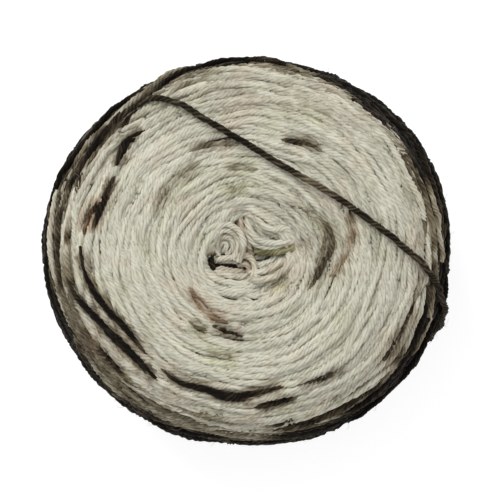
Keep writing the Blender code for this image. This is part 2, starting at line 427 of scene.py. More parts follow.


# Dyed stretches that show on the face, and dark lines of painted shadow between turns: each a row
# of pixels of the photograph that it runs through, its dye at the start, in the middle and at the
# end, how reddish the dye is, or how olive where that is below 0, the olive being painted shade,
# and how far it lies over the cake's form at the start and from its middle on, in millimetres
DYED_AND_SHADOW_STRETCHES = (
    (
        (
            (80, 246), (81, 257), (83, 270), (88, 283), (98, 298),
            (110, 313), (122, 325), (134, 339), (148, 356),
        ),
        (0.9, 1.0, 0.6), 0.2, (0.35, 0.35),
    ),
    (
        (
            (67, 270), (70, 285), (76, 297), (89, 312), (106, 329),
            (122, 344), (136, 358), (148, 371), (161, 384),
        ),
        (0.6, 1.0, 0.9), 0.0, (0.45, 0.35),
    ),
    (
        ((93, 319), (108, 335), (123, 349), (137, 363), (148, 376)),
        (0.6, 1.0, 0.8), 0.1, (0.05, 0.05),
    ),
    (
        ((145, 130), (132, 135), (123, 143), (119, 153), (116, 169)),
        (0.9, 1.0, 0.9), 0.0, (0.30, 0.30),
    ),
    (
        ((137, 137), (129, 141), (123, 150), (119, 160)),
        (0.9, 1.1, 0.9), 0.0, (0.0, 0.0),
    ),
    (
        ((114, 176), (109, 187), (104, 199), (99, 212), (94, 225), (90, 236)),
        (0.95, 0.85, 0.2), 0.3, (0.25, 0.25),
    ),
    (
        ((103, 198), (96, 204), (90, 212), (86, 222), (83, 234)),
        (0.3, 0.72, 0.5), 1.0, (0.15, 0.15),
    ),
    (
        (
            (160, 368), (178, 382), (203, 389), (220, 394),
            (238, 396), (252, 394), (268, 390), (288, 385),
        ),
        (0.5, 1.05, 0.5), 0.2, (0.30, 0.30),
    ),
    (
        ((206, 392), (222, 398), (240, 400), (254, 398)),
        (0.5, 1.0, 0.5), 0.2, (0.10, 0.10),
    ),
    (
        ((254, 408), (262, 407), (270, 406), (284, 402), (298, 398)),
        (0.9, 1.0, 0.5), 0.1, (0.15, 0.15),
    ),
    (
        ((187, 284), (194, 295), (199, 302), (204, 308), (210, 314), (217, 319), (228, 322)),
        (0.1, 0.50, 0.6), 0.9, (0.20, 0.20),
    ),
    (
        ((210, 325), (220, 329), (232, 334), (246, 338)),
        (0.5, 0.95, 0.5), 0.0, (-0.25, -0.25),
    ),
    (
        (
            (286, 204), (300, 208), (314, 215), (322, 224),
            (325, 235), (324, 247), (319, 259), (313, 270),
        ),
        (0.30, 0.46, 0.4), -0.06, (-0.15, -0.15),
    ),
    (
        (
            (318, 217), (327, 226), (331, 236), (331, 248),
            (326, 260), (319, 272), (312, 284), (306, 292),
        ),
        (0.4, 0.75, 0.4), -0.1, (0.10, 0.10),
    ),
    # A dark strand in a fold: partly its dye, partly painted shade
    (
        ((349, 210), (352, 221), (353, 234), (349, 247), (343, 259), (336, 270), (327, 280)),
        (0.9, 0.45, 0.4), 0.5, (0.05, 0.05),
    ),
    # A narrow dark line of painted shadow between two turns
    (
        ((279, 139), (291, 140), (303, 142), (314, 146), (324, 151)),
        (0.3, 0.78, 0.4), 0.0, (-0.2, -0.2),
    ),
    (
        ((187, 151), (201, 146), (219, 143), (241, 144)),
        (0.3, 0.5, 0.3), 0.1, (0.1, 0.1),
    ),
    (
        ((203, 161), (191, 167), (181, 174), (172, 183), (164, 194), (158, 207), (155, 220)),
        (0.3, 0.45, 0.3), -0.10, (-0.20, -0.20),
    ),
    (
        ((207, 166), (196, 172), (186, 180), (177, 189), (169, 201), (163, 214)),
        (0.1, 0.24, 0.1), -0.2, (0.0, 0.0),
    ),
    (
        ((84, 333), (92, 343), (102, 355), (114, 368), (128, 381)),
        (0.5, 0.95, 0.6), 0.2, (0.15, 0.15),
    ),
    (
        ((78, 320), (86, 335), (97, 350), (110, 365), (124, 379)),
        (0.4, 0.62, 0.4), 0.3, (0.20, 0.20),
    ),
    # A thin dark line of painted shadow between two turns
    (
        ((296, 386), (312, 383), (326, 378), (340, 372), (351, 366)),
        (0.4, 0.75, 0.4), 0.0, (-0.2, -0.2),
    ),
    # From here on: short sunk olive lines, painted shade in the gaps between turns
    (
        ((188, 322), (199, 328), (210, 333)),
        (0.3, 0.55, 0.3), -0.3, (-0.35, -0.35),
    ),
    (
        ((268, 286), (278, 282), (289, 276)),
        (0.2, 0.45, 0.2), -0.35, (-0.35, -0.35),
    ),
    (
        ((222, 193), (235, 190), (250, 190)),
        (0.2, 0.40, 0.2), -0.35, (-0.35, -0.35),
    ),
    (
        ((224, 170), (240, 167), (258, 170)),
        (0.2, 0.45, 0.2), -0.25, (-0.35, -0.35),
    ),
    (
        ((205, 354), (222, 356), (241, 357)),
        (0.2, 0.40, 0.2), -0.35, (-0.35, -0.35),
    ),
)

# Turns at the rim, in the same columns
RIM_TURNS = (
    (
        ((124, 117), (117, 126), (107, 135), (95, 147), (83, 160), (74, 174), (68, 189), (62, 208)),
        (0.9, 0.95, 0.5), 0.1, (2.4, 0.6),
    ),
    (
        (
            (71, 168), (82, 152), (95, 137), (108, 124), (117, 116), (125, 110), (135, 103),
            (143, 96), (150, 88), (158, 80), (168, 73), (177, 69), (186, 65), (197, 62),
        ),
        (0.45, 0.35, 0.6), 0.1, (0.7, 0.7),
    ),
    (
        ((63, 204), (60, 216), (58, 230), (57, 246), (57, 262), (59, 278), (63, 294), (69, 310)),
        (0.7, 0.75, 0.4), 0.1, (0.8, 0.8),
    ),
    (
        ((57, 190), (53, 205), (51, 220), (51, 236), (52, 252), (54, 268), (58, 284)),
        (0.3, 0.20, 0.4), 0.1, (0.9, 0.9),
    ),
    (
        ((69, 214), (67, 226), (66, 240), (66, 255), (68, 270), (72, 285)),
        (0.2, 0.5, 0.5), 0.2, (0.6, 0.6),
    ),
    (
        ((424, 176), (431, 192), (436, 208), (440, 226), (442, 244), (443, 262)),
        (1.0, 0.35, 0.6), 0.2, (0.6, 0.7),
    ),
    (
        ((420, 178), (426, 194), (430, 212), (433, 230), (435, 249), (436, 268)),
        (0.8, 0.50, 0.6), 0.2, (0.2, 0.6),
    ),
    (
        (
            (150, 87), (140, 90), (130, 95), (120, 104), (110, 113), (100, 123),
            (89, 136), (78, 150), (66, 168), (56, 186), (49, 206),
        ),
        (1.0, 1.1, 1.0), 0.0, (0.7, 0.7),
    ),
    (
        (
            (154, 90), (163, 81), (175, 74), (190, 67), (206, 62),
            (223, 59), (242, 58), (262, 59), (284, 62),
        ),
        (0.9, 1.05, 1.0), 0.0, (0.6, 0.6),
    ),
    (
        (
            (446, 298), (443, 309), (440, 319), (436, 331),
            (431, 342), (424, 354), (417, 363), (411, 370),
        ),
        (1.1, 1.1, 1.1), 0.0, (1.5, 0.9),
    ),
    (
        (
            (446, 270), (446, 288), (444, 302), (440, 316), (435, 330), (428, 345),
            (419, 358), (408, 371), (396, 384), (383, 398), (367, 411), (348, 423),
        ),
        (1.0, 1.1, 1.0), 0.0, (0.8, 0.8),
    ),
    (
        ((434, 284), (436, 295), (434, 308), (431, 321), (426, 334), (420, 346), (412, 358)),
        (0.7, 0.45, 0.7), 0.2, (0.4, 0.4),
    ),
    (
        (
            (430, 286), (429, 300), (427, 310), (423, 323), (419, 334),
            (414, 345), (409, 355), (402, 367), (393, 379),
        ),
        (0.8, 1.1, 0.9), 0.1, (0.4, 0.4),
    ),
    (
        (
            (426, 283), (425, 296), (422, 309), (418, 320),
            (414, 332), (409, 343), (403, 355), (396, 366),
        ),
        (0.2, 0.25, 0.5), 0.1, (0.3, 0.3),
    ),
    (
        ((420, 296), (417, 308), (413, 321), (408, 333), (402, 345), (394, 358), (384, 371)),
        (0.1, 0.42, 0.4), 0.1, (0.1, 0.1),
    ),
    (
        ((385, 380), (370, 392), (350, 404), (328, 415), (306, 424), (282, 431)),
        (0.5, 0.80, 0.6), 0.1, (0.6, 0.6),
    ),
)

CURVE_STEPS = 24


def smooth_line(rows, step):
    """Places a step apart on one smooth curve through the rows."""
    rows = np.asarray(rows, dtype=float)
    padded = np.vstack([2 * rows[0] - rows[1], rows, 2 * rows[-1] - rows[-2]])
    fine = []
    for before, start, end, after in zip(padded, padded[1:], padded[2:], padded[3:]):
        for t in np.linspace(0.0, 1.0, CURVE_STEPS, endpoint=False):
            fine.append(
                0.5
                * (
                    2 * start
                    + (end - before) * t
                    + (2 * before - 5 * start + 4 * end - after) * t**2
                    + (3 * start - before - 3 * end + after) * t**3
                )
            )
    fine = np.array([*fine, rows[-1]])
    reached = np.concatenate([[0.0], np.cumsum(np.linalg.norm(np.diff(fine, axis=0), axis=1))])
    count = max(3, round(reached[-1] / step))
    stops = np.linspace(0.0, reached[-1], count + 1)
    return np.column_stack([np.interp(stops, reached, fine[:, i]) for i in range(fine.shape[1])])


# The step along a stretch, in pixels of the photograph and in millimetres
SEEN_STEP = 2.2
STRETCH_STEP = 0.6
# The two kinds of stretch: lowest height, rounds of easing of the height, girth at the ends, how
# far the turns beside a stretch sink, and the share of its dye that they take up
ON_THE_FACE = (0.0, 4, 0.42, 1.15, 0.5)
AT_THE_RIM = (0.68 * CAKE_HEIGHT, 400, 0.7, 1.5, 0.25)
# Where a stretch tapers, and where it stops acting on the turns beside it, as shares
# of half its length
TAPER = (0.3, 1.0)
FADE = (0.8, 1.0)
# Distances from a stretch's line over which the turns beside it rise again, in its own girths,
# over which they lose its dye, and past which it has no effect, in millimetres
RISE = (0.7, 2.2)
BLEED = (1.0, 2.6)
NEAR = 2.7


def lay_stretch(pixels, dyes, warmth, lifts, kind):
    """A stretch's line on the cake, with its dye, girth and lift all along; some stretches are painted
    shadow lines.
    """
    lowest, easing, thin_end, sink, bleed = kind
    seen = smooth_line(pixels, SEEN_STEP)
    heights = np.array([on_surface(*pixel)[2] for pixel in seen])
    heights = eased(np.maximum(heights, lowest), easing)
    line = np.array([seen_at(*pixel, height) for pixel, height in zip(seen, heights)])
    share = np.linspace(-1.0, 1.0, len(line))
    start, middle, end = dyes
    dye = np.interp(share, [-1.0, -0.5, 0.5, 1.0], [start, middle, middle, end])
    lift = np.interp(share, [-1.0, 0.0], lifts)
    return {
        "line": line,
        "share": share,
        "dye": dye,
        "warmth": warmth,
        "lift": lift,
        "girth": 1.0 - (1.0 - thin_end) * blend(*TAPER, np.abs(share)),
        "sink": sink,
        "bleed": bleed,
    }


STRETCHES = [lay_stretch(*row, ON_THE_FACE) for row in DYED_AND_SHADOW_STRETCHES]
STRETCHES += [lay_stretch(*row, AT_THE_RIM) for row in RIM_TURNS]


def near_stretches(x, y):
    """How far a turn of the face sinks beside the stretches, and the dye it takes up, which beside the
    shadow lines is painted shade.
    """
    sink, dye, warmth = np.zeros(len(x)), np.zeros(len(x)), np.zeros(len(x))
    for stretch in STRETCHES:
        line = stretch["line"]
        near_x = (x > line[:, 0].min() - NEAR) & (x < line[:, 0].max() + NEAR)
        near = near_x & (y > line[:, 1].min() - NEAR) & (y < line[:, 1].max() + NEAR)
        if not near.any():
            continue
        away = np.hypot(x[near, None] - line[:, 0], y[near, None] - line[:, 1])
        nearest = away.argmin(axis=1)
        gap = away.min(axis=1)
        here = 1 - blend(*FADE, np.abs(stretch["share"][nearest]))
        girth = stretch["girth"][nearest]
        low = 1 - blend(RISE[0] * girth, RISE[1] * girth, gap)
        sink[near] = np.maximum(sink[near], stretch["sink"] * girth * here * low)
        taken = stretch["bleed"] * here * stretch["dye"][nearest] * (1 - blend(*BLEED, gap))
        warmth[near] = np.where(taken > dye[near], stretch["warmth"], warmth[near])
        dye[near] = np.maximum(dye[near], taken)
    return sink, dye, warmth


# Strands: each is a dictionary of its places, of its dye, warmth and girth at each place, and of
# its painted highlight and shade on the plies with their wear, its tone and the phase of its twist


# How strongly the plies' crowns are painted lighter and their sides darker, as highlight and shade, with
# some wear
CROWN_LIGHT_AND_WEAR = 0.20
LOOSE_END_CROWN_LIGHT_AND_WEAR = 0.35


def strand(places, dye, warmth=0.0, crown_light_and_wear=CROWN_LIGHT_AND_WEAR, girth=1.0):
    """One strand of yarn; its tone and the phase of its twist are drawn by chance."""
    places = np.asarray(places, dtype=float)
    all_along = {
        key: np.broadcast_to(value, len(places)).astype(float)
        for key, value in (("dye", dye), ("warmth", warmth), ("girth", girth))
    }
    tone = rng.normal(0.0, 1.0)
    phase = rng.uniform(0.0, FULL_TURN)
    return {"places": places, **all_along, "crown_light_and_wear": crown_light_and_wear, "tone": tone, "phase": phase}


# Face: arcs laid level by level, from the core out. Here and further down, a pair of numbers for
# a wander, lift, sway or dye noise is its wavelength along the yarn, in millimetres, and its
# strength

FACE_TURNS = 30
FACE_STEP = 1.2
FACE_COVER = 1.65
LEAST_LEVEL = 0.02
LEAST_POINTS = 12
WANDER = (13.0, 0.34)
FINE_WANDER = (5.0, 0.14)
ARC_EASING = 3
ARC_DIP = 1.9
ARC_ENDS = (0.55, 1.0)
ARC_LIFT = (9.0, 0.14)
ARC_DYE = (26.0, 0.55)
ARC_DYE_SPREAD = 0.35
# Half an arc's length by the way round at its level, in millimetres
WAYS_ROUND = (30.0, 120.0, 330.0)
HALF_LENGTHS = (13.0, 21.0, 33.0)
HALF_LENGTH_SHARES = (0.75, 1.30)
# Where a level's first arc begins and how far an arc is shifted, in shares of an arc's room
FIRST_ARC = (0.3, 0.7)
ARC_SHIFTS = (-0.18, 0.18)
# The levels between which the arcs begin to bow and to slope outwards
OUTER_LEVELS = (0.15, 0.6)
# How an arc leaves its level, in pitches of the turns, and how high it lies, in millimetres
LEVEL_SHIFT = 0.55
LEVEL_SPREAD = 0.16
BOWS = (0.1, 1.5)
SLOPE_SPREAD = 0.25
OUTER_SLOPE = (0.35, 0.55)
LIFTS = (-0.46, 0.46)


def steps_round(level):
    """The lengths of the steps from heading to heading all round a level of the face."""
    x, y = level_place(np.full(HEADINGS, level), HEADING_GRID)
    return np.hypot(np.diff(x, append=x[0]), np.diff(y, append=y[0]))


def face_arc(level, middle, half_length, bow, slope, lift):
    """One arc of the face round its middle heading, dipping under its neighbours at both ends."""
    reached = np.concatenate([[0.0], np.cumsum(steps_round(level))])
    count = max(LEAST_POINTS, int(2 * half_length / FACE_STEP))
    share = np.linspace(-1.0, 1.0, count)
    start = np.interp(middle % FULL_TURN, HEADING_GRID, reached[:-1])
    along = start + share * half_length
    heading = np.interp(along % reached[-1], reached, np.append(HEADING_GRID, FULL_TURN))
    pitch = 1.0 / FACE_TURNS
    wander = noise_line(count, FACE_STEP, *WANDER)
    wander = wander + noise_line(count, FACE_STEP, *FINE_WANDER)
    levels = level + pitch * (bow * share**2 + slope * share + wander)
    x, y = level_place(np.maximum(levels, LEAST_LEVEL), heading)
    x, y = eased(x, ARC_EASING), eased(y, ARC_EASING)
    dip = ARC_DIP * blend(*ARC_ENDS, np.abs(share))
    sink, stretch_dye, stretch_warmth = near_stretches(x, y)
    depth = PRESSED_RADIUS - lift + dip + sink + noise_line(count, FACE_STEP, *ARC_LIFT)
    own_noise = noise_line(count, FACE_STEP, *ARC_DYE) + rng.normal(0, ARC_DYE_SPREAD)
    share_along = np.clip(own_noise, -1, 1)
    top = on_top(x, y)
    dye = np.maximum(rim_dye(top, share_along), stretch_dye)
    dye = np.maximum(dye, face_stain_and_shade(x, y, share_along))
    return strand(sunk(top, depth), dye, stretch_warmth)


# Turns under the arcs, with the level where they begin and how far their levels reach from there
UNDER_TURNS = FACE_TURNS - 3
UNDER_POINTS = 300
UNDER_STEP = 0.7
UNDER_LEVELS = (0.03, 0.91)
UNDER_WAVELENGTH = 8.0
UNDER_DYE_NOISE = (60.0, 0.6)
# The least dye of these turns, painted shade for where they show between the arcs
UNDER_PAINTED_SHADE = 0.05
# The spirals under the arcs: heading of the start, sway in pitches, depth in millimetres
UNDER_SPIRALS = (
    (0.0, 0.25, 0.30),
    (math.pi, 0.45, 0.55),
)


def face_spiral(start, sway, depth):
    """Turns just under the arcs: one long spiral from the core to the shoulder."""
    count = UNDER_POINTS * UNDER_TURNS
    share = np.linspace(0.0, 1.0, count)
    swaying = noise_line(count, UNDER_STEP, UNDER_WAVELENGTH, sway) / FACE_TURNS
    levels = UNDER_LEVELS[0] + UNDER_LEVELS[1] * share + swaying
    x, y = level_place(levels, start + FULL_TURN * UNDER_TURNS * share)
    top = on_top(x, y)
    dye = rim_dye(top, np.clip(noise_line(count, UNDER_STEP, *UNDER_DYE_NOISE), -1, 1))
    _sink, stretch_dye, stretch_warmth = near_stretches(x, y)
    dye = np.maximum(np.maximum(dye, stretch_dye), UNDER_PAINTED_SHADE)
    return strand(sunk(top, PRESSED_RADIUS + depth), dye, stretch_warmth)


def face_strands():
    """The arcs of the face, level by level from the core to the shoulder."""
    strands = []
    turn = rng.uniform(0.0, FULL_TURN)
    for k in range(1, FACE_TURNS):
        level = (k + LEVEL_SHIFT) / FACE_TURNS
        outer = blend(*OUTER_LEVELS, level)
        around = steps_round(level).sum()
        half_length = np.interp(around, WAYS_ROUND, HALF_LENGTHS)
        count = max(2, math.ceil(FACE_COVER * around / (2 * half_length)))
        turn += rng.uniform(*FIRST_ARC) * FULL_TURN / count
        for i in range(count):
            middle = turn + (i + rng.uniform(*ARC_SHIFTS)) * FULL_TURN / count
            arc = face_arc(
                level + rng.normal(0.0, LEVEL_SPREAD) / FACE_TURNS,
                middle,
                half_length * rng.uniform(*HALF_LENGTH_SHARES),
                bow=outer * rng.uniform(*BOWS),
                slope=SLOPE_SPREAD * rng.normal() + outer * rng.normal(*OUTER_SLOPE),
                lift=rng.uniform(*LIFTS),
            )
            strands.append(arc)
    return strands


# Side: tilted turns between the shoulders

INNER_SIDE_TURNS = 58
OUTER_SIDE_TURNS = 32
# Depth of the side's layers from their first turn to their last, and how far short of the
# shoulders their turns may stop, in millimetres
INNER_DEPTHS = (2.3, 0.9)
OUTER_DEPTHS = (0.9, 0.0)
INNER_PLAY = 12.0
OUTER_PLAY = 4.5
SIDE_STEP = 2.5
SIDE_RADIUS = 57.0
PRECESSION = math.radians(9.7)
PRECESSION_SPREAD = 0.05
SIDE_SWING = 25.2
SIDE_WAVES = 3
SIDE_WAVE = 0.4
SIDE_LIFT = (30.0, 0.20)
SIDE_UNEVENNESS = (22.0, 0.5)
SIDE_DYE_SPREAD = 0.3
SIDE_DYE_REACH = 1.25
SIDE_DYE_LIMITS = (0.05, DARKEST)
# Points over which a turn's end comes back to its start
SEAM = 6
SIDE_SMOOTHING = 3
# Where the side's dye gives way to the rim's: past the dark band, and high on the shoulder
PAST_DARK = (0.2, 1.4)
SHOULDER = (0.62, 0.70)


def round_the_axis(heading, reach, z):
    """Places at headings in radians, distances from the axis and heights."""
    return np.column_stack([reach * np.cos(heading), reach * np.sin(heading), z])


def side_turn(k, deep, play):
    """One whole tilted turn, deep under the outermost ones and short of them by up to play."""
    high = PRECESSION * k + rng.normal(0.0, PRECESSION_SPREAD)
    swing = SIDE_SWING - rng.uniform(0.0, play)
    count = int(FULL_TURN * SIDE_RADIUS / SIDE_STEP)
    heading = np.linspace(0.0, FULL_TURN, count)
    z = CAKE_HEIGHT / 2 + swing * np.cos(heading - high)
    z = z + SIDE_WAVE * np.sin(SIDE_WAVES * heading + k)
    lift = noise_line(count, SIDE_STEP, *SIDE_LIFT)
    lift[-SEAM:] = np.interp(np.arange(SEAM), [0, SEAM - 1], [lift[-SEAM], lift[0]])
    reach = np.array([side_reach(a, b) for a, b in zip(heading, z)])
    reach = smooth_round(reach, SIDE_SMOOTHING) - YARN_RADIUS - deep + lift
    start = rng.integers(count)
    places = round_the_axis(heading, reach, z)
    plain = round_the_rim(heading, SIDE_DYE)
    uneven = noise_line(count, SIDE_STEP, *SIDE_UNEVENNESS) + rng.normal(0, SIDE_DYE_SPREAD)
    dye = plain + (SIDE_DYE_REACH - plain) * uneven
    dark = round_the_rim(heading, DARK)
    past_dark = blend(dark + PAST_DARK[0], dark + PAST_DARK[1], seen_depth(places))
    on_shoulder = past_dark * blend(*SHOULDER, z / CAKE_HEIGHT)
    mottled = rim_dye(places, np.clip(uneven, -1, 1))
    dye = np.clip(dye * (1 - on_shoulder) + mottled * on_shoulder, *SIDE_DYE_LIMITS)
    return strand(np.roll(places[:-1], start, axis=0), np.roll(dye[:-1], start))


def side_strands():
    """The inner turns of the side and the outer ones."""
    inner = [
        side_turn(k, np.interp(k, [0, INNER_SIDE_TURNS], INNER_DEPTHS), INNER_PLAY)
        for k in range(INNER_SIDE_TURNS)
    ]
    outer = [
        side_turn(k + 0.5, np.interp(k, [0, OUTER_SIDE_TURNS], OUTER_DEPTHS), OUTER_PLAY)
        for k in range(OUTER_SIDE_TURNS)
    ]
    return inner, outer


# Underside: plain rings on the flat base and round the lower shoulder

BASE_STEP = 2.5
BASE_CLEARANCE = 0.15
FIRST_RING = 1.7
LAST_RING = 43.0
RING_LEAST_POINTS = 24
RING_TURN = 1.04 * FULL_TURN
RING_WANDER = (25.0, 0.15)
RING_LIFT = (12.0, 0.10)
RING_DYE = 0.1
RING_DYE_NOISE = (30.0, 0.25)
RING_RIM_DYE = 0.75
RING_RIM = (33, 42)
LOWER_SHOULDER_LEVELS = (1.7, 2.9, 4.3, 6.0, 7.8, 9.6)
LOWER_SHOULDER_POINTS = 150
LOWER_SHOULDER_TURN = 1.03 * FULL_TURN
LOWER_SHOULDER_EASING = 4
LOWER_SHOULDER_SWAY = (30.0, 0.25)
LOWER_SHOULDER_DYE = (22.0, 0.15)


def base_strands():
    """Rings on the base from its middle out, then rings up the lower shoulder."""
    strands = []
    ring = FIRST_RING
    while ring < LAST_RING:
        count = max(RING_LEAST_POINTS, int(FULL_TURN * ring / BASE_STEP))
        heading = np.linspace(0.0, RING_TURN, count) + rng.uniform(0, FULL_TURN)
        outward = TURN_PITCH * (heading - heading[0]) / FULL_TURN
        reach = ring * outline_at(heading) / outline_reach.mean() + outward
        reach = reach + noise_line(count, BASE_STEP, *RING_WANDER)
        lift = YARN_RADIUS + BASE_CLEARANCE + np.abs(noise_line(count, BASE_STEP, *RING_LIFT))
        dye = RING_DYE + noise_line(count, BASE_STEP, *RING_DYE_NOISE)
        dye = np.clip(dye + RING_RIM_DYE * blend(*RING_RIM, reach), 0, 1)
        strands.append(strand(round_the_axis(heading, reach, lift), dye))
        ring += TURN_PITCH
    count = LOWER_SHOULDER_POINTS
    for level in LOWER_SHOULDER_LEVELS:
        heading = np.linspace(0.0, LOWER_SHOULDER_TURN, count) + rng.uniform(0, FULL_TURN)
        z = level + noise_line(count, BASE_STEP, *LOWER_SHOULDER_SWAY)
        reach = np.array([side_reach(a, b) for a, b in zip(heading, z)])
        reach = eased(reach, LOWER_SHOULDER_EASING) - YARN_RADIUS
        dye = round_the_rim(heading, SIDE_DYE) + noise_line(count, BASE_STEP, *LOWER_SHOULDER_DYE)
        places = round_the_axis(heading, reach, z)
        strands.append(strand(places, np.clip(dye, 0.0, DARKEST)))
    return strands


# How far the ends of a stretch dip, in millimetres, and where that begins
STRETCH_END_DIP = 0.5
STRETCH_ENDS = (0.85, 1.0)
STRETCH_LIFT = (6.0, 0.20)
STRETCH_DYE = (5.0, 0.10)


def stretch_strand(stretch):
    """The strand of a stretch, dipping a little at both ends; some stretches are painted shadow lines."""
    line, girth = stretch["line"], stretch["girth"]
    dip = STRETCH_END_DIP * blend(*STRETCH_ENDS, np.abs(stretch["share"]))
    depth = PRESSED_RADIUS * girth - stretch["lift"] + dip
    depth = depth + noise_line(len(line), STRETCH_STEP, *STRETCH_LIFT)
    dye = stretch["dye"] + noise_line(len(line), STRETCH_STEP, *STRETCH_DYE)
    return strand(sunk(line, depth), np.clip(dye, 0.0, DARKEST), stretch["warmth"], girth=girth)


# Strands that lie in the collapsed core, as pixels of the photograph, with their depth under the
# face, dye and warmth; the olive one along the right slit and the two darkest in the left slit are painted
# shadow
CORE_STRANDS = (
    (((238, 262), (243, 251), (243, 239), (237, 229), (227, 224), (216, 228), (209, 238)), 0.9, 0.05, 0.2),
    (((233, 259), (238, 249), (238, 240), (232, 232), (223, 230), (215, 236), (212, 247)), 1.2, 0.06, 0.0),
    (((227, 255), (233, 249), (233, 241), (227, 236), (220, 238), (216, 246), (218, 255)), 1.5, 0.08, 0.3),
    (((222, 252), (227, 247), (225, 242), (220, 244), (219, 250)), 1.8, 0.12, 0.0),
    (((247, 220), (251, 231), (259, 240), (272, 243), (287, 242), (301, 240)), 1.0, 0.05, 0.0),
    (((245, 228), (249, 237), (254, 243), (263, 247), (277, 247), (294, 244)), 1.4, 0.10, 0.0),
    (((255, 214), (262, 224), (273, 229), (284, 228), (297, 232)), 0.7, 0.05, 0.0),
    (((248, 280), (262, 280), (277, 275), (290, 265), (299, 252)), 0.9, 0.05, 0.0),
    (((249, 272), (262, 272), (275, 267), (287, 256)), 1.0, 0.06, 0.0),
    (((250, 264), (261, 265), (272, 260), (281, 252)), 1.1, 0.06, 0.0),
    (((252, 257), (261, 258), (270, 252)), 1.2, 0.08, 0.0),
    # Olive, painted shadow along the right slit
    (((255, 251), (268, 253), (282, 251), (296, 247), (303, 245)), 1.3, 0.32, -1.0),
    (((211, 263), (222, 259), (235, 257), (247, 254), (256, 250)), 0.9, 0.04, 0.6),
    (((213, 266), (226, 262), (239, 262), (250, 259)), 1.1, 0.06, 0.4),
    (((216, 274), (226, 275), (237, 277), (247, 276)), 0.8, 0.05, 0.0),
    (((209, 270), (218, 273), (230, 273), (242, 275)), 1.3, 0.15, 0.3),
    (((211, 271), (221, 269), (231, 271), (244, 272)), 1.5, 0.20, 0.3),
    (((233, 256), (243, 255), (251, 258), (255, 266), (254, 274), (249, 282)), 0.6, 0.16, 0.6),
    (((238, 266), (245, 263), (249, 267), (249, 274), (243, 279)), 0.8, 0.32, 0.6),
    (((240, 212), (241, 224), (245, 236), (249, 247), (252, 255)), 1.3, 0.22, 1.0),
    (((237, 216), (239, 227), (242, 238), (245, 248)), 1.7, 0.55, 1.0),
    (((244, 214), (247, 226), (250, 238), (255, 247)), 1.7, 0.30, 0.6),
    # These two, nearly black, are painted shadow deep in the left slit
    (((210, 255), (211, 262), (213, 271)), 1.8, 0.95, 0.4),
    (((210, 266), (220, 267), (230, 267), (241, 268)), 1.2, 1.0, 0.3),
)
# How far the ends of a core strand dip, in millimetres, and where that begins
CORE_DIP = 1.5
CORE_ENDS = (0.5, 1.0)
CORE_DYE_NOISE = (5.0, 0.08)


def core_strand(pixels, depth, dye, warmth):
    """A strand across the core, level but for its ends, which dip."""
    line = smooth_line([on_face(*pixel) for pixel in pixels], FACE_STEP)
    share = np.linspace(-1.0, 1.0, len(line))
    plain_height = max(face_height(x, y) for x, y in line)
    z = plain_height - depth - CORE_DIP * blend(*CORE_ENDS, np.abs(share))
    dye = np.clip(dye + noise_line(len(line), FACE_STEP, *CORE_DYE_NOISE), 0, 1)
    return strand(np.column_stack([line, z]), dye, warmth)


# Loose end: the route of the part's own solid, in millimetres, up the right side, across the
# face and round the upper left shoulder
LOOSE_END_ROUTE = (
    (47.5, -26.9, 14.5),
    (50.3, -25.1, 21.5),
    (52.3, -22.7, 29.0),
    (53.6, -20.0, 37.0),
    (53.9, -16.9, 44.0),
    (53.2, -13.4, 49.8),
    (51.6, -9.2, 54.6),
    (48.6, -4.9, 57.8),
    (43.5, -0.6, 60.0),
    (35.4, 6.3, 62.2),
    (29.2, 10.9, 62.8),
    (22.8, 15.2, 62.9),
    (11.4, 21.6, 62.9),
    (0.8, 28.0, 62.7),
    (-6.0, 32.1, 62.2),
    (-12.5, 36.0, 61.3),
    (-18.0, 39.2, 59.6),
    (-22.4, 41.4, 57.6),
    (-25.6, 42.3, 56.6),
    (-28.2, 41.2, 56.2),
    (-30.4, 38.8, 56.0),
    (-32.6, 36.2, 55.8),
    (-34.8, 33.6, 55.6),
)
LOOSE_END_GAP = 0.4
LOOSE_END_STEP = PLY_LAY / 12
REST_ROUNDS = 80
SETTLE_SHARE = 0.04
# Dye of the loose end, and the worn place half way along it: how much paler, with its column and
# its reach in pixels of the photograph
LOOSE_END_DYE = 0.88
LOOSE_END_WARMTH = 0.05
LOOSE_END_DYE_NOISE = (9.0, 0.06)
WORN_PLACE = (0.38, 313, 17)


def rest_on(line, surface, clearance):
    """The line laid on the surface, its hollows bridged, with the clearance kept all along."""
    line = [Vector(place) for place in line]
    for _ in range(REST_ROUNDS):
        middle = [(a + 2 * b + c) / 4 for a, b, c in zip(line, line[1:], line[2:])]
        line = [line[0], *middle, line[-1]]
        for i, place in enumerate(line):
            foot, normal, _face, _distance = surface.find_nearest(place)
            short = clearance - (place - foot).dot(normal)
            settle = 1.0 if short > 0 else SETTLE_SHARE
            line[i] = place + normal * short * settle
    return np.array(line)


def loose_end_strand():
    """The loose end, laid on the part's own solid."""
    surface = surface_of(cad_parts["yarn_cake"].data)
    line = smooth_line(LOOSE_END_ROUTE, LOOSE_END_STEP)
    line = rest_on(line, surface, YARN_RADIUS + LOOSE_END_GAP)
    paler, worn_column, worn_reach = WORN_PLACE
    edges = (0, PICTURE_SIZE)
    column = np.interp(line[:, 0], [on_face(c, PICTURE_SIZE / 2)[0] for c in edges], edges)
    faded = np.exp(-(((column - worn_column) / worn_reach) ** 2))
    noise = noise_line(len(line), LOOSE_END_STEP, *LOOSE_END_DYE_NOISE)
    dye = LOOSE_END_DYE - paler * faded + noise
    return strand(line, dye, LOOSE_END_WARMTH, LOOSE_END_CROWN_LIGHT_AND_WEAR)


# Node trees


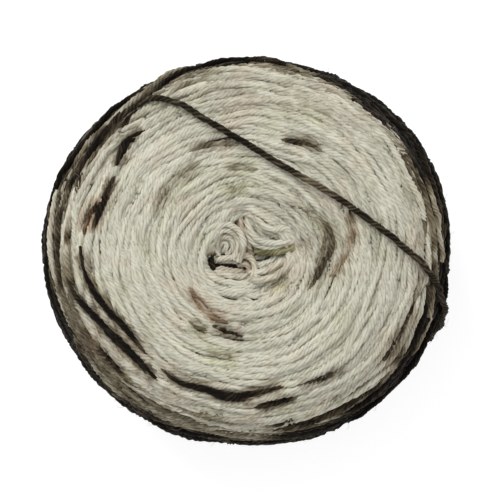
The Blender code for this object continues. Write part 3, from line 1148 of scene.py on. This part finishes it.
class NodeNet:
    """Builds a node tree one node at a time, for geometry and for materials."""

    def __init__(self, tree):
        self.tree = tree

    def new(self, kind, inputs=None, **settings):
        """A new node with its settings; its inputs are values or other nodes' outputs."""
        node = self.tree.nodes.new(kind)
        for name, value in settings.items():
            setattr(node, name, value)
        for name, value in (inputs or {}).items():
            if isinstance(value, bpy.types.NodeSocket):
                self.tree.links.new(value, node.inputs[name])
            else:
                node.inputs[name].default_value = value
        return node

    def add(self, kind, inputs=None, **settings):
        """The outputs of a new node."""
        return self.new(kind, inputs, **settings).outputs

    def maths(self, operation, a, b=0.0, clamp=False):
        return self.add("ShaderNodeMath", {0: a, 1: b}, operation=operation, use_clamp=clamp)[0]

    def plus(self, a, b, clamp=False):
        return self.maths("ADD", a, b, clamp)

    def minus(self, a, b):
        return self.maths("SUBTRACT", a, b)

    def times(self, a, b, clamp=False):
        return self.maths("MULTIPLY", a, b, clamp)

    def swing(self, noise, strength):
        """A noise from 0 to 1, turned into one that runs both ways round 0."""
        return self.times(self.minus(noise, 0.5), strength)

    def scaled(self, vector, factor):
        inputs = {0: vector, "Scale": factor}
        return self.add("ShaderNodeVectorMath", inputs, operation="SCALE")[0]

    def split(self, vector):
        return self.add("ShaderNodeSeparateXYZ", {0: vector})

    def noise(self, vector, scale, detail=2.0, roughness=0.6):
        """Noise in space, as a number from 0 to 1."""
        inputs = {"Vector": vector, "Scale": scale, "Detail": detail, "Roughness": roughness}
        return self.add("ShaderNodeTexNoise", inputs)["Fac"]

    def stored(self, name):
        """A number stored on a geometry's points."""
        inputs = {"Name": name}
        return self.add("GeometryNodeInputNamedAttribute", inputs, data_type="FLOAT")["Attribute"]

    def store(self, geometry, name, value, data_type):
        """The geometry with a value stored on its points."""
        inputs = {"Geometry": geometry, "Name": name, "Value": value}
        kind = "GeometryNodeStoreNamedAttribute"
        return self.add(kind, inputs, data_type=data_type, domain="POINT")["Geometry"]

    def hand_out(self, geometry, material, output):
        """Give the tree's result its material and hand it out."""
        inputs = {"Geometry": geometry, "Material": material}
        finished = self.add("GeometryNodeSetMaterial", inputs)["Geometry"]
        self.new("NodeGroupOutput", {output: finished})


def open_tree(name, inputs, output):
    """A new Geometry Nodes tree with its inputs, as a net and the outputs that hold them."""
    tree = bpy.data.node_groups.new(name, "GeometryNodeTree")
    for label, kind in inputs:
        tree.interface.new_socket(label, in_out="INPUT", socket_type="NodeSocket" + kind)
    tree.interface.new_socket(output, in_out="OUTPUT", socket_type="NodeSocketGeometry")
    net = NodeNet(tree)
    return net, net.add("NodeGroupInput")


# Inputs of the two trees: name, kind
YARN_INPUTS = (
    ("Lines", "Geometry"),
    ("Yarn radius", "Float"),
    ("Step", "Float"),
    ("Sides", "Int"),
    ("Finish", "Material"),
)
FIBRE_INPUTS = (
    ("Yarn", "Geometry"),
    ("Fibres to a square metre", "Float"),
    ("Seed", "Int"),
    ("Finish", "Material"),
)


def plied_yarn_tree():
    """Geometry Nodes that lay plied yarn along every line of a mesh of edges."""
    net, given = open_tree("plied_yarn", YARN_INPUTS, "Yarn")
    line = net.add("GeometryNodeMeshToCurve", {"Mesh": given["Lines"]})["Curve"]
    inputs = {"Curve": line, "Length": given["Step"]}
    line = net.add("GeometryNodeResampleCurve", inputs, mode="LENGTH")["Curve"]

    along = net.add("GeometryNodeSplineParameter")["Length"]
    phase = net.stored("phase")
    offset = net.plus(along, phase)
    inputs = {"Scale": TWIST_CHANGES_PER_METRE, "Detail": 1.0, "W": offset}
    evenness = net.add("ShaderNodeTexNoise", inputs, noise_dimensions="1D")["Fac"]
    turns = net.maths("DIVIDE", along, PLY_LAY * MM)
    turns = net.plus(turns, net.times(evenness, UNEVEN_TWIST))
    twist = net.plus(net.times(turns, -FULL_TURN), phase)
    line = net.add("GeometryNodeSetCurveTilt", {"Curve": line, "Tilt": twist})["Curve"]
    line = net.store(line, "along", offset, "FLOAT")

    inputs = {"Resolution": given["Sides"], "Radius": given["Yarn radius"]}
    circle = net.add("GeometryNodeCurvePrimitiveCircle", inputs)["Curve"]
    index = net.add("GeometryNodeInputIndex")[0]
    turn = net.times(net.maths("DIVIDE", index, given["Sides"]), FULL_TURN)
    lobes = net.maths("COSINE", net.times(turn, PLIES))
    dent = net.times(net.plus(lobes, 1.0), PLY_GROOVE / 2)
    place = net.add("GeometryNodeInputPosition")[0]
    inputs = {"Geometry": circle, "Position": net.scaled(place, net.minus(1.0, dent))}
    section = net.add("GeometryNodeSetPosition", inputs)["Geometry"]
    in_radii = net.scaled(place, net.maths("DIVIDE", 1.0, given["Yarn radius"]))
    section = net.store(section, "section", in_radii, "FLOAT_VECTOR")

    inputs = {"Curve": line, "Profile Curve": section, "Scale": net.stored("girth")}
    yarn = net.add("GeometryNodeCurveToMesh", {**inputs, "Fill Caps": True})["Mesh"]
    inputs = {"Scale": LUMPS_PER_METRE, "Detail": 1.0}
    bulge = net.swing(net.add("ShaderNodeTexNoise", inputs)["Fac"], LUMPINESS * MM)
    outward = net.scaled(net.add("GeometryNodeInputNormal")[0], bulge)
    yarn = net.add("GeometryNodeSetPosition", {"Geometry": yarn, "Offset": outward})["Geometry"]
    yarn = net.add("GeometryNodeSetShadeSmooth", {"Geometry": yarn})["Geometry"]
    yarn = net.add("GeometryNodeRealizeInstances", {"Geometry": yarn})["Geometry"]
    net.hand_out(yarn, given["Finish"], "Yarn")
    return net.tree


# A stray fibre: its arch, with its length as the unit, how far it leans any way, in radians, and
# how short and how long it may be. Fibres rise where the yarn faces up by at least this much
FIBRE_ARCH = ((0.0, 0.0, -0.05), (0.45, 0.10, 0.30), (1.0, -0.15, 0.12))
FIBRE_POINTS = 4
FIBRE_SIDES = 3
FIBRE_LEAN = 0.4
SHORTEST, LONGEST = 0.5, 1.5
LEAST_UPWARD = 0.1
# Where a ply's crown lies in a section of the yarn
PLY_CROWN = (1.0, 1.0, 0.0)


def stray_fibre_tree():
    """Geometry Nodes that raise short stray fibres from the upper side of a mesh."""
    net, given = open_tree("stray_fibres", FIBRE_INPUTS, "Fibres")
    height = net.split(net.add("GeometryNodeInputPosition")[0])["Z"]
    facing = net.split(net.add("GeometryNodeInputNormal")[0])["Z"]
    high = net.maths("GREATER_THAN", height, FIBRES_FROM * MM)
    upward = net.maths("GREATER_THAN", facing, LEAST_UPWARD)
    inputs = {
        "Mesh": given["Yarn"],
        "Selection": net.times(high, upward),
        "Density": given["Fibres to a square metre"],
        "Seed": given["Seed"],
    }
    roots = net.add("GeometryNodeDistributePointsOnFaces", inputs)

    start, middle, end = FIBRE_ARCH
    inputs = {"Resolution": FIBRE_POINTS, "Start": start, "Middle": middle, "End": end}
    arch = net.add("GeometryNodeCurveQuadraticBezier", inputs)["Curve"]
    inputs = {"Geometry": arch, "Scale": (FIBRE_LENGTH * MM,) * 3}
    arch = net.add("GeometryNodeTransform", inputs)["Geometry"]
    inputs = {"Resolution": FIBRE_SIDES, "Radius": FIBRE_RADIUS * MM}
    section = net.add("GeometryNodeCurvePrimitiveCircle", inputs)["Curve"]
    fibre = net.add("GeometryNodeCurveToMesh", {"Curve": arch, "Profile Curve": section})["Mesh"]

    inputs = {
        "Min": (-FIBRE_LEAN, -FIBRE_LEAN, 0.0),
        "Max": (FIBRE_LEAN, FIBRE_LEAN, FULL_TURN),
        "Seed": given["Seed"],
    }
    turn = net.add("FunctionNodeRandomValue", inputs, data_type="FLOAT_VECTOR")["Value"]
    turn = net.add("FunctionNodeEulerToRotation", {0: turn})[0]
    inputs = {"Rotation": roots["Rotation"], "Rotate By": turn}
    aimed = net.add("FunctionNodeRotateRotation", inputs, rotation_space="LOCAL")[0]
    inputs = {2: SHORTEST, 3: LONGEST, "Seed": given["Seed"]}
    size = net.add("FunctionNodeRandomValue", inputs, data_type="FLOAT")[1]
    inputs = {"Points": roots["Points"], "Instance": fibre, "Rotation": aimed, "Scale": size}
    fibres = net.add("GeometryNodeInstanceOnPoints", inputs)["Instances"]
    fibres = net.add("GeometryNodeRealizeInstances", {"Geometry": fibres})["Geometry"]
    fibres = net.store(fibres, "section", PLY_CROWN, "FLOAT_VECTOR")
    net.hand_out(fibres, given["Finish"], "Fibres")
    return net.tree


# Meshes


def lines_mesh(name, strands):
    """A mesh of edges only, with what each strand says stored on its points."""
    sizes = [len(s["places"]) for s in strands]
    places = np.vstack([s["places"] for s in strands]) * MM
    edges = []
    first = 0
    for size in sizes:
        edges += [(first + i, first + i + 1) for i in range(size - 1)]
        first += size
    mesh = bpy.data.meshes.new(name)
    mesh.from_pydata(places.tolist(), edges, [])
    columns = {key: np.concatenate([s[key] for s in strands]) for key in ("dye", "warmth", "girth")}
    for key in ("crown_light_and_wear", "tone", "phase"):
        columns[key] = np.repeat([s[key] for s in strands], sizes)
    for key, values in columns.items():
        mesh.attributes.new(key, "FLOAT", "POINT").data.foreach_set("value", values)
    return mesh


def grow(name, base, tree, values):
    """A new piece: what a tree makes of a base mesh, as a plain mesh."""
    grower = new_object(name, base)
    modifier = grower.modifiers.new(tree.name, "NODES")
    modifier.node_group = tree
    for item in tree.interface.items_tree:
        if item.name in values:
            modifier[item.identifier] = values[item.name]
    depsgraph = bpy.context.evaluated_depsgraph_get()
    mesh = bpy.data.meshes.new_from_object(grower.evaluated_get(depsgraph))
    bpy.data.objects.remove(grower)
    mesh.name = name
    return new_object(name, mesh)


# Finishes


def linear(red, green, blue):
    """A colour in display values, 0 to 255, as the shader takes it."""
    values = [channel / 255 for channel in (red, green, blue)]
    return (*(v / 12.92 if v <= 0.04045 else ((v + 0.055) / 1.055) ** 2.4 for v in values), 1.0)


DYE_STOPS = (
    (0.00, linear(206, 204, 189)),
    (0.22, linear(172, 167, 152)),
    (0.45, linear(118, 110, 92)),
    (0.70, linear(64, 56, 42)),
    (0.90, linear(32, 26, 17)),
    (1.00, linear(18, 14, 9)),
)
WARM_DYE_STOPS = (
    (0.00, linear(207, 200, 183)),
    (0.22, linear(180, 165, 146)),
    (0.45, linear(138, 118, 95)),
    (0.70, linear(88, 68, 51)),
    (0.90, linear(42, 31, 21)),
    (1.00, linear(22, 16, 10)),
)
# Tints: olive for olive blotches and for painted shade in the grooves; deep olive for painted shade where
# warmth is below 0; rose for rosy blotches
OLIVE_TINT = linear(226, 226, 186)
DEEP_OLIVE_TINT = linear(236, 240, 205)
ROSE_TINT = linear(255, 247, 243)
PLAIN_TINT = (1.0, 1.0, 1.0, 1.0)
# The fibres' pattern: how fast it changes round the yarn, and to a metre along it
FIBRES_ACROSS = 5.0
FIBRES_ALONG = 900.0
FIBRE_ROUGHNESS = 0.65
ROUND_PLY = 1.02
# Marks on the wool to a metre, and how strongly each kind changes the dye
MOTTLES = 420.0
SPECKS = 2600.0
BLOTCHES = 95.0
MOTTLE_STRENGTH = 0.44
SPECK_STRENGTH = 0.10
STREAK_STRENGTH = 0.30
# Painted highlight and shade, with wear: the crown of a ply is paler than its sides, where shade
# falls, and some plies are paler than others
CROWN = 0.50
CROWN_POWER = 1.3
PLY_WEAR = 0.6
# Blotches above the first turn rosy and below the second olive, this fast; olive is also painted
# into the grooves as their shade
ROSY_FROM = 0.52
OLIVE_BELOW = 0.50
BLOTCH_EDGE = 6.0
OLIVE_SHARE = 0.22
GROOVE_OLIVE_SHADE = 0.5
GROOVE_POWER = 4.0
# How much the brightness differs between strands, plies, fibres and grooves
STRAND_TONE = 0.06
PLY_TONE = 0.10
FIBRE_TONE = 0.22
GROOVE_SHADE = -0.55
# The relief of plies and fibres in the surface
PLY_RELIEF = 0.6
FIBRE_RELIEF = 0.5
RELIEF_STRENGTH = 0.6
RELIEF_HEIGHT = 0.25 * MM
WOOL_SURFACE = {
    "Roughness": 0.92,
    "Specular IOR Level": 0.08,
    "Sheen Weight": 0.06,
    "Sheen Roughness": 0.5,
}


def attribute(net, name, output="Fac"):
    """What a mesh stores under a name, as a material sees it."""
    return net.add("ShaderNodeAttribute", attribute_name=name)[output]


def ramp(net, factor, stops):
    """A colour by its place among the stops."""
    node = net.new("ShaderNodeValToRGB", {"Fac": factor})
    elements = node.color_ramp.elements
    elements[0].position, elements[0].color = stops[0]
    elements[1].position, elements[1].color = stops[-1]
    for position, colour in stops[1:-1]:
        elements.new(position).color = colour
    return node.outputs["Color"]


def mixed(net, factor, a, b, blend_type="MIX"):
    """Two colours mixed by a factor."""
    inputs = {"Factor": factor, "A": a, "B": b}
    return net.add("ShaderNodeMix", inputs, data_type="RGBA", blend_type=blend_type)["Result"]


def tinted(net, colour, factor, tint):
    """A colour with as much of a tint laid over it as the factor says."""
    return mixed(net, 1.0, colour, mixed(net, factor, PLAIN_TINT, tint), "MULTIPLY")


def dyed_wool():
    """Wool, coloured by the dye, warmth, painted crown highlight with wear, and tone that the yarn stores.
    """
    material = bpy.data.materials.new("dyed_wool")
    material.use_nodes = True
    net = NodeNet(material.node_tree)
    shader = material.node_tree.nodes["Principled BSDF"].inputs
    place = net.add("ShaderNodeTexCoord")["Object"]

    section = net.split(attribute(net, "section", "Vector"))
    angle = net.maths("ARCTAN2", section[1], section[0])
    plies = net.times(angle, PLIES / FULL_TURN)
    across_ply = net.minus(net.maths("FRACT", plies), 0.5)
    to_groove = net.times(net.maths("ABSOLUTE", across_ply), 2.0)
    groove = net.maths("POWER", to_groove, GROOVE_POWER)
    along = attribute(net, "along")
    untwisted = net.plus(angle, net.times(along, -FULL_TURN / (PLY_LAY * MM)))
    inputs = {
        0: net.times(net.maths("COSINE", untwisted), FIBRES_ACROSS),
        1: net.times(net.maths("SINE", untwisted), FIBRES_ACROSS),
        2: net.times(along, FIBRES_ALONG),
    }
    fibre_place = net.add("ShaderNodeCombineXYZ", inputs)[0]
    fibres = net.noise(fibre_place, 1.0, 2.0, FIBRE_ROUGHNESS)
    which_ply = net.plus(net.maths("FLOOR", plies), attribute(net, "phase"))
    ply_mark = net.add("ShaderNodeTexWhiteNoise", {"W": which_ply}, noise_dimensions="1D")["Value"]
    own_ply = net.minus(ply_mark, 0.5)

    mottle = net.noise(place, MOTTLES, 3.0)
    speck = net.noise(place, SPECKS)
    blotch = net.noise(place, BLOTCHES)
    given_dye = attribute(net, "dye")
    # Painted highlight on the plies' crowns and shade at their sides, with some plies paler for wear
    crown = net.minus(CROWN, net.maths("POWER", to_groove, CROWN_POWER))
    lit_crowns_and_worn_plies = net.plus(crown, net.times(own_ply, PLY_WEAR))
    lit_crowns_and_worn_plies = net.times(lit_crowns_and_worn_plies, net.times(attribute(net, "crown_light_and_wear"), -1.0))
    dye = net.plus(given_dye, net.times(given_dye, lit_crowns_and_worn_plies))
    dye = net.plus(dye, net.swing(mottle, MOTTLE_STRENGTH))
    dye = net.plus(dye, net.swing(fibres, STREAK_STRENGTH))
    dye = net.plus(dye, net.swing(speck, SPECK_STRENGTH), clamp=True)

    warmth = attribute(net, "warmth")
    colour = mixed(net, warmth, ramp(net, dye, DYE_STOPS), ramp(net, dye, WARM_DYE_STOPS))
    rosy = net.times(net.minus(blotch, ROSY_FROM), BLOTCH_EDGE, clamp=True)
    colour = tinted(net, colour, rosy, ROSE_TINT)
    olive_blotch_and_groove_shade = net.times(net.minus(OLIVE_BELOW, blotch), BLOTCH_EDGE, clamp=True)
    # Olive painted into the grooves between the plies as their shade, laid over the olive blotches
    olive_blotch_and_groove_shade = net.plus(net.times(olive_blotch_and_groove_shade, OLIVE_SHARE), net.times(groove, GROOVE_OLIVE_SHADE))
    colour = tinted(net, colour, olive_blotch_and_groove_shade, OLIVE_TINT)
    # Deep olive where warmth is below 0: painted shade in the gaps between turns and in the core's right
    # slit
    deep_olive = net.times(warmth, -1.0, clamp=True)
    colour = tinted(net, colour, deep_olive, DEEP_OLIVE_TINT)

    tone = net.plus(net.times(attribute(net, "tone"), STRAND_TONE), net.times(own_ply, PLY_TONE))
    tone = net.plus(tone, net.swing(fibres, FIBRE_TONE))
    shade = net.times(groove, net.times(mottle, GROOVE_SHADE))
    brightness = net.plus(tone, net.plus(shade, 1.0))
    net.tree.links.new(net.scaled(colour, brightness), shader["Base Color"])
    for name, value in WOOL_SURFACE.items():
        shader[name].default_value = value

    round_ply = net.maths("SQRT", net.minus(ROUND_PLY, net.maths("POWER", to_groove, 2.0)))
    height = net.plus(net.times(round_ply, PLY_RELIEF), net.times(fibres, FIBRE_RELIEF))
    inputs = {"Strength": RELIEF_STRENGTH, "Distance": RELIEF_HEIGHT, "Height": height}
    net.tree.links.new(net.add("ShaderNodeBump", inputs)["Normal"], shader["Normal"])
    return material


# The wound mass that shows between the turns

# How deep the mass lies, in millimetres: on the face and the base, and on the side. The side ends
# between these shares of the height, and the base where the normal's height is between these
MASS_DEPTH = 1.15
SIDE_MASS_DEPTH = 3.9
SIDE_ENDS = (0.80, 0.92)
BASE_STARTS = (-0.9, -0.6)
LOWEST_MASS = 1.0
# Its dye: the least, a painted shade for the gaps between the turns; in the core's slits, dark yarn
# with painted shade; on the side and on the base. Heights and the reach of a slit's dye are in millimetres
MASS_GAP_SHADE = 0.14
MASS_NOISE = 0.2
SLIT_REACH = 2.2
SLIT_DYE_AND_SHADE = 0.8
SLIT_WARMTH = 0.4
SIDE_MASS_DYE = 0.95
SIDE_MASS_BELOW = 0.86 * CAKE_HEIGHT
BASE_MASS_DYE = 0.3
BASE_MASS_BELOW = 3.0


def wound_mass(finish):
    """The cake's own form drawn in: dark where the rim is dark, dark yarn with painted shade in the core's
    slits, and a little darker than cream elsewhere as painted shade in the gaps.
    """
    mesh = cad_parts["yarn_cake"].data.copy()
    mesh.name = "wound_mass"
    count = len(mesh.vertices)
    places = np.empty(count * 3)
    mesh.vertices.foreach_get("co", places)
    normals = np.empty(count * 3)
    mesh.vertex_normals.foreach_get("vector", normals)
    places = places.reshape(-1, 3) / MM
    normals = normals.reshape(-1, 3)
    on_the_side = 1 - blend(*SIDE_ENDS, places[:, 2] / CAKE_HEIGHT)
    on_the_side = on_the_side * blend(*BASE_STARTS, normals[:, 2])
    drawn_in = MASS_DEPTH + (SIDE_MASS_DEPTH - MASS_DEPTH) * on_the_side
    places = places - drawn_in[:, None] * normals
    height = np.maximum(places[:, 2], LOWEST_MASS)
    places[:, 2] = height
    mesh.vertices.foreach_set("co", (places * MM).ravel())
    in_slit = 1 - blend(0.0, SLIT_REACH, distance_to_slits(places[:, 0], places[:, 1]))
    # The least dye is painted shade for the gaps; in the slits, dark yarn with painted shade
    dye = np.maximum(rim_dye(places, np.full(count, MASS_NOISE)), MASS_GAP_SHADE)
    dye = np.maximum(dye, SLIT_DYE_AND_SHADE * in_slit * (height > WIDEST_HEIGHT))
    dye = np.where(height < SIDE_MASS_BELOW, SIDE_MASS_DYE, dye)
    dye = np.where(height < BASE_MASS_BELOW, BASE_MASS_DYE, dye)
    for key, values in (
        ("dye", dye),
        ("warmth", SLIT_WARMTH * in_slit),
        ("tone", np.zeros(count)),
    ):
        mesh.attributes.new(key, "FLOAT", "POINT").data.foreach_set("value", values)
    section = mesh.attributes.new("section", "FLOAT_VECTOR", "POINT")
    section.data.foreach_set("vector", np.tile(PLY_CROWN, count))
    mesh.materials.clear()
    mesh.materials.append(finish)
    mesh.shade_smooth()
    return new_object("wound_mass", mesh)


# Studio

FLOOR_SIZE = 4.0
FLOOR_COLOUR = (0.42, 0.42, 0.42, 1.0)
FLOOR_ROUGHNESS = 0.9
WHITE = (1.0, 1.0, 1.0, 1.0)
FLOOR_GLOW = 0.72
SKY_STRENGTH = 0.72
# Lights: name, place in metres, width in metres, power in watts
LIGHTS = (
    ("key", (-0.45, 0.75, 0.85), 0.6, 7.5),
    ("fill", (0.8, -0.5, 0.9), 0.9, 2.0),
)


def make_camera():
    data = bpy.data.cameras.new("overhead")
    data.lens = CAMERA_LENS
    data.sensor_width = SENSOR_WIDTH
    camera = new_object("overhead", data)
    camera.location = Vector(CAMERA_PLACE) * MM
    bpy.context.scene.camera = camera


def make_floor():
    bpy.ops.mesh.primitive_plane_add(size=FLOOR_SIZE, location=(0, 0, 0))
    floor = bpy.context.active_object
    floor.name = "floor"
    material = bpy.data.materials.new("pale_floor")
    material.use_nodes = True
    shader = material.node_tree.nodes["Principled BSDF"]
    shader.inputs["Base Color"].default_value = FLOOR_COLOUR
    shader.inputs["Roughness"].default_value = FLOOR_ROUGHNESS
    shader.inputs["Emission Color"].default_value = WHITE
    shader.inputs["Emission Strength"].default_value = FLOOR_GLOW
    floor.data.materials.append(material)


def make_light(name, location, size, power):
    data = bpy.data.lights.new(name, "AREA")
    data.shape = "DISK"
    data.size = size
    data.energy = power
    light = new_object(name, data)
    light.location = location
    light.rotation_euler = (-Vector(location)).to_track_quat("-Z", "Y").to_euler()


def make_studio():
    make_floor()
    for row in LIGHTS:
        make_light(*row)
    world = bpy.data.worlds.new("studio")
    world.use_nodes = True
    background = world.node_tree.nodes["Background"]
    background.inputs["Color"].default_value = WHITE
    background.inputs["Strength"].default_value = SKY_STRENGTH
    bpy.context.scene.world = world
    bpy.context.scene.view_settings.view_transform = "Standard"


# Pieces

# Sides of the yarn's section and the step along it, in millimetres: finer on the face
LOOSE_END_FINENESS = (12, 0.4)
FACE_FINENESS = (8, 0.42)
UNDER_FINENESS = (6, 1.3)
STRETCH_FINENESS = (12, 0.42)
CORE_FINENESS = (12, 0.45)
INNER_SIDE_FINENESS = (5, 1.9)
OUTER_SIDE_FINENESS = (6, 1.2)
BASE_FINENESS = (6, 1.5)
# Stray fibres to a square metre
FACE_FIBRES = 40000.0
SIDE_FIBRES = 15000.0
LOOSE_END_FIBRES = 400000.0
FIRST_FIBRE_SEED = 30
# The face's arcs are shared out over three pieces, up to these shares of them in hundredths
FACE_PIECES = (0, 45, 74, 100)

make_camera()
make_studio()
wool = dyed_wool()
yarn_tree = plied_yarn_tree()
fibre_tree = stray_fibre_tree()


def ride_as_wool(piece):
    """Let a piece ride with the part."""
    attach(piece, "root")


def yarn_piece(name, strands, radius, fineness):
    """A piece of plied yarn: the strands, twisted and lobed."""
    sides, step = fineness
    values = {"Yarn radius": radius * MM, "Step": step * MM, "Sides": sides, "Finish": wool}
    piece = grow(name, lines_mesh(name + "_lines", strands), yarn_tree, values)
    ride_as_wool(piece)
    return piece


def fibre_piece(yarn, slot, density, seed):
    """The stray fibres of a piece of yarn."""
    values = {"Fibres to a square metre": density, "Seed": seed, "Finish": wool}
    ride_as_wool(grow(yarn.name + "_fibres", yarn.data.copy(), fibre_tree, values))


loose = loose_end_strand()
loose_end = yarn_piece("loose_end_yarn", [loose], YARN_RADIUS, LOOSE_END_FINENESS)
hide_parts("loose_end")

mass = wound_mass(wool)
ride_as_wool(mass)
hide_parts("yarn_cake")

woolly = []
arcs = face_strands()
bounds = [len(arcs) * share // 100 for share in FACE_PIECES]
for number, (first, last) in enumerate(zip(bounds, bounds[1:]), 1):
    name = f"face_turns_{number}"
    piece = yarn_piece(name, arcs[first:last], PRESSED_RADIUS, FACE_FINENESS)
    woolly.append((piece, "wool_cream", FACE_FIBRES))
under = [face_spiral(*row) for row in UNDER_SPIRALS]
yarn_piece("face_under_turns", under, PRESSED_RADIUS, UNDER_FINENESS)
stretch_strands = [stretch_strand(stretch) for stretch in STRETCHES]
yarn_piece("dyed_and_shadow_stretches", stretch_strands, PRESSED_RADIUS, STRETCH_FINENESS)
core = [core_strand(*row) for row in CORE_STRANDS]
yarn_piece("core_strands", core, YARN_RADIUS, CORE_FINENESS)

inner, outer = side_strands()
for name, strands, fineness in (
    ("side_turns_inner", inner, INNER_SIDE_FINENESS),
    ("side_turns_outer", outer, OUTER_SIDE_FINENESS),
):
    piece = yarn_piece(name, strands, YARN_RADIUS, fineness)
    woolly.append((piece, "wool_dark", SIDE_FIBRES))
yarn_piece("base_turns", base_strands(), YARN_RADIUS, BASE_FINENESS)

woolly.append((loose_end, "wool_dark", LOOSE_END_FIBRES))
for seed, row in enumerate(woolly, FIRST_FIBRE_SEED):
    fibre_piece(*row, seed)
